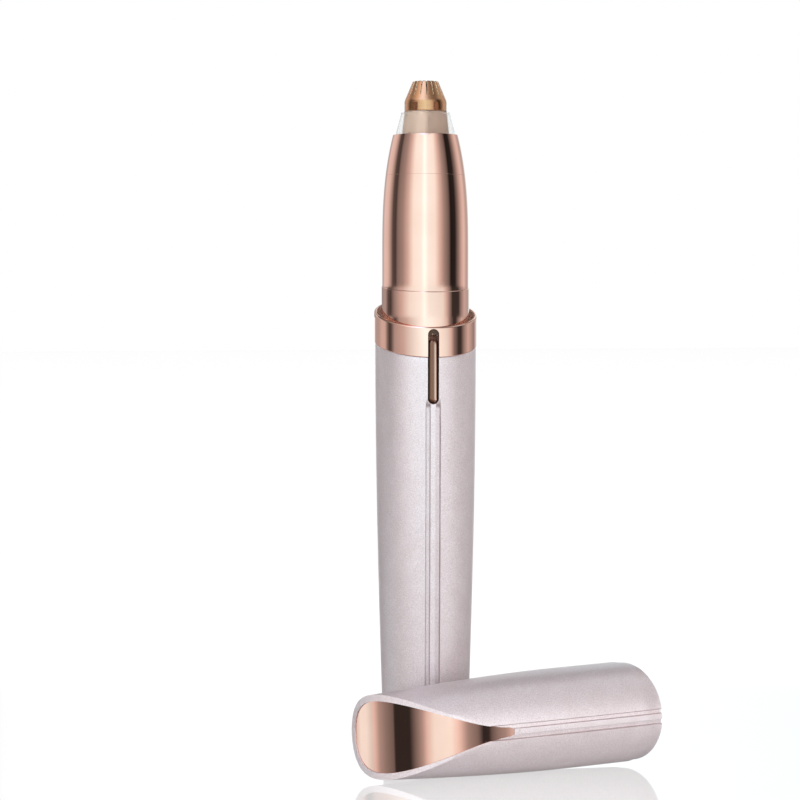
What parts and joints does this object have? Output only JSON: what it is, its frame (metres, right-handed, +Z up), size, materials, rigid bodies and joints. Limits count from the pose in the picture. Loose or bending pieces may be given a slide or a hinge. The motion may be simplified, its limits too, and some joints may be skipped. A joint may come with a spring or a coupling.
{
  "type": "eyebrow and face trimmer",
  "caption": "Slim battery trimmer standing open, with a rotary slotted head, a light ring, a slide switch and its scooped cap lying beside it.",
  "frame": {"origin": "middle of the barrel's flat foot, on the surface that the trimmer stands on", "axes": "+Z up along the trimmer's axis, towards its head; the cap lies on the -Y side with its axis along X and its tip towards -X"},
  "size_m": [0.0557, 0.0391, 0.1284],
  "materials": {
    "pearl_paint": "satin pearl paint with fine flakes",
    "rose_gold": "mirror rose-gold plating",
    "head_gold": "polished deep gold plating",
    "clear_window": "clear moulded acrylic",
    "tan_plastic": "satin moulded plastic",
    "white_plastic": "moulded plastic",
    "black_plastic": "moulded plastic",
    "grey_plastic": "smooth plastic",
    "red_plastic": "wire insulation",
    "black_rubber": "moulded rubber",
    "grey_foam": "closed-cell foam",
    "bright_steel": "nickel plated",
    "battery_case": "bright metal can",
    "bare_aluminium": "bare",
    "yellow_brass": "turned",
    "tinned_copper": "tinned",
    "green_board": "solder mask",
    "amber_film": "polyimide film"
  },
  "bodies": {
    "handle": {"barrel_sleeve": "pearl_paint", "battery_pad": "grey_foam"},
    "drive_unit": {"collar_cup": "rose_gold", "neck_ring": "rose_gold", "neck_sleeve": "rose_gold", "nose_cone": "rose_gold", "spigot_seal": "black_rubber", "chassis_front": "white_plastic", "chassis_rear": "white_plastic", "chassis_screw_lower": "bright_steel", "chassis_screw_upper": "bright_steel", "battery_cell": "battery_case", "battery_wrap": "grey_plastic", "contact_spring": "bright_steel", "contact_plate": "bright_steel", "contact_strip": "bright_steel", "circuit_board": "green_board", "slide_switch": "bright_steel", "driver_chip": "black_plastic", "capacitor": "bare_aluminium", "motor_can": "bright_steel", "motor_end_cap": "grey_plastic", "motor_terminal_left": "tinned_copper", "motor_terminal_right": "tinned_copper", "motor_grommet": "black_rubber", "lead_red": "red_plastic", "lead_black": "black_plastic", "lamp_ribbon": "amber_film", "lamp_board": "green_board", "lamp_1": "white_plastic", "lamp_2": "white_plastic", "lamp_3": "white_plastic", "lamp_4": "white_plastic"},
    "rotor": {"motor_shaft": "bright_steel", "drive_dog": "white_plastic"},
    "switch": {"switch_bar": "rose_gold", "switch_carriage": "black_plastic"},
    "head": {"light_window": "clear_window", "head_guard": "head_gold", "head_base": "tan_plastic", "head_bearing": "yellow_brass"},
    "cutter": {"cutter_spindle": "bright_steel", "cutter_hub": "black_plastic", "cutter_blades": "bright_steel", "cutter_spring": "bright_steel"},
    "cap": {"cap_shell": "pearl_paint", "cap_inlay": "rose_gold"}
  },
  "joints": [
    {"name": "drive_unit_pull", "type": "slide", "parent": "handle", "child": "drive_unit", "axis": [0, 0, 1], "range_m": [0, 0.08]},
    {"name": "switch_slide", "type": "slide", "parent": "drive_unit", "child": "switch", "axis": [0, 0, 1], "range_m": [0, 0.001]},
    {"name": "rotor_spin", "type": "hinge", "parent": "drive_unit", "child": "rotor", "pos_m": [0, 0, 0.1], "axis": [0, 0, 1], "continuous": true},
    {"name": "head_pull", "type": "slide", "parent": "drive_unit", "child": "head", "axis": [0, 0, 1], "range_m": [0, 0.012]},
    {"name": "cutter_spin", "type": "hinge", "parent": "head", "child": "cutter", "pos_m": [0, 0, 0.12], "axis": [0, 0, 1], "continuous": true},
    {"name": "cap_lift", "type": "slide", "parent": "handle", "child": "cap", "axis": [0, 0, 1], "range_m": [0, 0.1]}
  ],
  "couplings": [
    {"joint": "cutter_spin", "follows": "rotor_spin", "ratio": 1}
  ]
}
